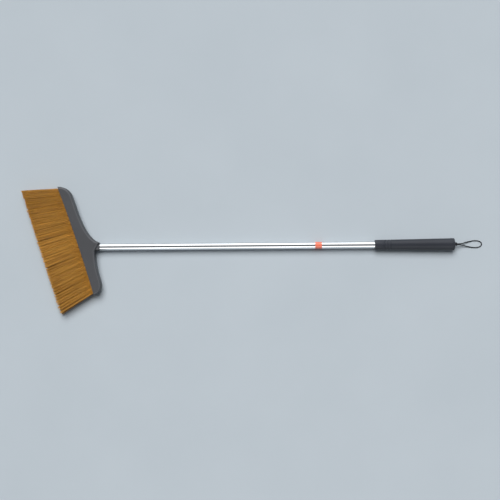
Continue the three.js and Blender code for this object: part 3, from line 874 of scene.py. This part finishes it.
def band():
    """A film wrapped once round the tube, with its end lapped over its start at the back."""
    angles = np.linspace(0, 2 * math.pi + BAND_LAP, BAND_STEPS) - math.pi / 2
    lap = np.clip((np.arange(BAND_STEPS) - BAND_LAP_STEP) / BAND_LAP_STEPS, 0, 1)
    middle = TUBE_RADIUS + BAND_MIDDLE + BAND_LAP_HEIGHT * lap ** 2 * (3 - 2 * lap)
    near, far = BAND_BEVEL, BAND_LENGTH - BAND_BEVEL
    section = [
        [0, 0.0], [near, -BAND_HALF], [far, -BAND_HALF], [BAND_LENGTH, 0.0], [far, BAND_HALF], [near, BAND_HALF],
    ]
    points, faces = skin([
        np.array([[BAND_START + a, (r + b) * math.cos(angle), (r + b) * math.sin(angle)] for a, b in section])
        for angle, r in zip(angles, middle)
    ])
    show(make("wrapped_band", from_handle(points), faces), BAND_FILM, "band_film", "broom", "colour_band")


def grip_radius(along):
    share = (along - GRIP_START) / (GRIP_END - GRIP_START)
    return GRIP_START_RADIUS + share * (GRIP_END_RADIUS - GRIP_START_RADIUS)


def groove_lip(edge, way):
    """Points of the soft lip at the groove behind the front ring, from its edge away along the grip."""
    far = edge + way * GROOVE_LIP
    return [
        [edge, grip_radius(edge) - GROOVE_LIP_DEPTH],
        [edge + way * GROOVE_LIP / 2, grip_radius(edge) - GROOVE_LIP_SAG],
        [far, grip_radius(far)],
    ]


def faint_groove(middle):
    """Points of a soft round groove across the grip."""
    points = []
    for s in np.linspace(-1, 1, FAINT_GROOVE_STEPS + 1):
        along = middle + s * FAINT_GROOVE_WIDTH / 2
        points.append([along, grip_radius(along) - FAINT_GROOVE_DEPTH * math.cos(s * math.pi / 2) ** 2])
    return points


def grip():
    bore = TUBE_RADIUS + FIT
    end, start = GROOVE_AT - GROOVE_HALF_GAP, GROOVE_AT + GROOVE_HALF_GAP
    ring = [[GRIP_START, bore], *arc(GRIP_START + GRIP_ROUND, GRIP_START_RADIUS - GRIP_ROUND, GRIP_ROUND, -90, 0)]
    ring += [*groove_lip(end, -1)[::-1], [end, bore]]
    turned("grip_ring", ring, GRIP_PLASTIC, "grip_plastic", "grip_front_ring")

    stop = CAP_START - CAP_GAP
    sleeve = [[start, bore], *groove_lip(start, 1)]
    for i in range(FAINT_GROOVES):
        sleeve += faint_groove(GROOVE_AT + FAINT_GROOVE_PITCH * (i + 1))
    taper = np.linspace(GROOVE_AT + GRIP_TAPER_FROM, stop - CAP_BEVEL, GRIP_TAPER_STEPS)
    sleeve += [[a, grip_radius(a)] for a in taper]
    sleeve += [[stop, grip_radius(stop) - CAP_BEVEL], [stop, bore]]
    turned("grip_body", sleeve, GRIP_PLASTIC, "grip_plastic", "grip_sleeve")

    back, inner = CAP_START - SPIGOT_LENGTH, SPIGOT_RADIUS - SPIGOT_WALL
    hole, edge = CORD_HOLE_RADIUS, CORD_HOLE_ROUND
    cap = [
        [back, inner], [back, SPIGOT_RADIUS], [CAP_START, SPIGOT_RADIUS],
        [CAP_START, grip_radius(CAP_START) - CAP_BEVEL], [CAP_START + CAP_BEVEL, grip_radius(CAP_START)],
        *arc(GRIP_END - CAP_ROUND, GRIP_END_RADIUS - CAP_ROUND, CAP_ROUND, 0, 90, steps=10),
        *arc(GRIP_END - edge, hole + edge, edge, 90, 180, steps=4), [CAP_START, hole], [CAP_START, inner],
    ]
    turned("grip_cap", cap, GRIP_PLASTIC, "grip_plastic", "end_cap")


# Hanging cord
def braided(name, path, radius):
    """A round braided cord along a path of points: strands wind both ways round it."""
    gaps = np.linalg.norm(np.diff(path, axis=0), axis=1)
    reach = np.concatenate([[0], np.cumsum(gaps)])
    count = int(reach[-1] / BRAID_STEP)
    line = np.column_stack([np.interp(np.linspace(0, reach[-1], count), reach, path[:, i]) for i in range(3)])
    ahead = np.gradient(line, axis=0)
    ahead /= np.linalg.norm(ahead, axis=1)[:, None]
    side = np.cross(ahead[0], [0.0, 0.0, 1.0])
    rings, heights = [], []
    angles = np.linspace(0, 2 * math.pi, BRAID_SIDES, endpoint=False)
    for i in range(count):
        side = side - ahead[i] * (side @ ahead[i])
        side /= np.linalg.norm(side)
        up = np.cross(ahead[i], side)
        wind = 2 * math.pi * i * BRAID_STEP / BRAID_PITCH
        left = np.cos(BRAID_STRANDS * (angles + wind))
        right = np.cos(BRAID_STRANDS * (angles - wind) + math.pi / 4)
        height = np.maximum(left, right) * 0.5 + 0.5
        r = radius * (BRAID_LOW + BRAID_RELIEF * height)
        rings.append(line[i] + r[:, None] * (np.cos(angles)[:, None] * side + np.sin(angles)[:, None] * up))
        heights.append(height)
    points, faces = skin(rings)
    piece = make(name, points, faces, sharp_deg=80)
    add_attribute(piece, "height", np.concatenate(heights))
    return piece


def smooth(points, steps):
    """A Catmull-Rom curve through points."""
    ends = np.concatenate([[2 * points[0] - points[1]], points, [2 * points[-1] - points[-2]]])
    t = np.linspace(0, 1, steps, endpoint=False)[:, None]
    runs = []
    for a, b, c, d in zip(ends, ends[1:], ends[2:], ends[3:]):
        runs.append(b + t * ((c - a) / 2 + t * (a - 2.5 * b + 2 * c - d / 2 + t * (1.5 * (b - c) + (d - a) / 2))))
    return np.concatenate([*runs, points[-1:]])


def cord():
    """The loop that swings, the windings of its knot, and the two strands through the cap."""
    side = np.array(LOOP_SIDE)
    points = np.concatenate([side, [LOOP_TIP], side[::-1] * [1, -1, 1]])
    path = from_handle(smooth(points * [1, 1, -1] + [KNOT_AT, 0, 0], LOOP_STEPS))
    loop = braided("cord_loop", path, CORD_RADIUS)
    show(loop, CORD_YARN, "cord", "hang_loop", "hang_cord")

    turns = np.linspace(0, KNOT_TURNS * 2 * math.pi, KNOT_STEPS)
    wrap = np.column_stack([
        KNOT_AT - KNOT_BACK + KNOT_LENGTH * turns / turns[-1],
        KNOT_ASIDE + KNOT_HALF_WIDTH * np.cos(turns + KNOT_FIRST_TURN),
        KNOT_HALF_HEIGHT * np.sin(turns + KNOT_FIRST_TURN),
    ])
    knot = braided("cord_wrap", from_handle(wrap), KNOT_CORD_RADIUS)
    show(knot, CORD_YARN, "cord", "broom", "cord_knot")
    reach = np.linspace(0, 1, STRAND_STEPS)
    bend = KNOT_ASIDE * np.clip((reach - STRAND_BEND_START) / STRAND_BEND_RUN, 0, 1) ** 2
    start, end = GRIP_END - STRAND_DEPTH, KNOT_AT + STRAND_PAST_KNOT
    for number, sign in ((1, 1), (2, -1)):
        aside = STRAND_ASIDE * sign + bend
        strand = np.column_stack([start + (end - start) * reach, aside, np.zeros(STRAND_STEPS)])
        piece = braided(f"cord_strand_{number}", from_handle(strand), KNOT_CORD_RADIUS)
        show(piece, CORD_YARN, "cord", "broom")


# Camera, light and floor
def camera():
    """The camera looks straight down, as in the photograph."""
    lens = bpy.data.cameras.new("camera")
    lens.sensor_width = CAMERA_SENSOR
    lens.lens = CAMERA_LENS
    eye = bpy.data.objects.new("camera", lens)
    eye.location = CAMERA_PLACE_M
    eye.rotation_euler = (0, 0, CAMERA_TURN)
    bpy.context.scene.collection.objects.link(eye)
    bpy.context.scene.camera = eye


def soft_light(name, azimuth, from_top, spread, strength, in_gloss=True, in_matt=True):
    """A wide even light, as from a large softbox far away: its angles are in degrees, the azimuth from +X."""
    light = bpy.data.lights.new(name, "SUN")
    light.angle = math.radians(spread)
    light.energy = strength
    lamp = bpy.data.objects.new(name, light)
    lamp.rotation_euler = (0, math.radians(from_top), math.radians(azimuth))
    lamp.visible_glossy = in_gloss
    lamp.visible_diffuse = in_matt
    bpy.context.scene.collection.objects.link(lamp)


def studio_floor():
    darker, paler = (0.46, 0.51, 0.55, 1), (0.48, 0.53, 0.57, 1)
    s = Shader("floor", Roughness=0.85, Specular_IOR_Level=0.2)
    s.dress(Base_Color=s.mix(s.ramp(s.noise(3.0, 4, 0.55), 0.3, 0.7), darker, paler))
    s.dress(Normal=s.bump(s.noise(900, 2), 0.05, 0.0002))
    far = FLOOR_HALF
    plan = np.array([[-far, -far], [far, -far], [far, far], [-far, far]])
    floor = make("floor", at_height(plan, FLOOR_HEIGHT), [(0, 1, 2, 3)])
    floor.data.materials.append(s.material)


def sky():
    """An even dim room. The camera and glossy surfaces see it pale near the horizon and dim overhead."""
    horizon, overhead = (0.50, 0.56, 0.60, 1), (0.15, 0.16, 0.17, 1)
    world = bpy.data.worlds.new("studio")
    bpy.context.scene.world = world
    world.use_nodes = True
    s = Nodes(world.node_tree)
    ray = s.add("ShaderNodeLightPath").outputs
    up = s.height_of(s.coordinate("Generated"))
    shown = s.mix(s.ramp(up, 0.35, 0.9), horizon, overhead)
    direct = s.math("MAXIMUM", ray["Is Camera Ray"], ray["Is Glossy Ray"])
    s.set(s.tree.nodes["Background"], "Color", s.mix(direct, overhead, shown))


camera()
cord()
hood()
for row_name, row_place in (("front", 1), ("middle", 0), ("back", -1)):
    bristle_row(f"fibres_{row_name}", f"bristle_row_{row_name}", row_place)
for number, block_spot in enumerate(BLOCK_SCREWS, 1):
    screw(f"hood_screw_{number}", f"block_screw_{number}", *block_spot, BLOCK_SCREW_LENGTH)
screw("lock_screw", "socket_screw", *SOCKET_SCREW, SOCKET_SCREW_LENGTH)
tube()
band()
grip()
for node in ("bristle_block", "tube_plug"):
    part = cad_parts[node]
    part.data.materials.clear()
    part.data.materials.append(BLACK_PLASTIC)
studio_floor()
sky()
soft_light("key_light", azimuth=103, from_top=30, spread=40, strength=3.3, in_gloss=False)
soft_light("upper_panel", azimuth=95, from_top=61, spread=64, strength=1.4, in_matt=False)
soft_light("lower_panel", azimuth=-90, from_top=48, spread=36, strength=0.5, in_matt=False)
bpy.context.scene.view_settings.view_transform = "Standard"
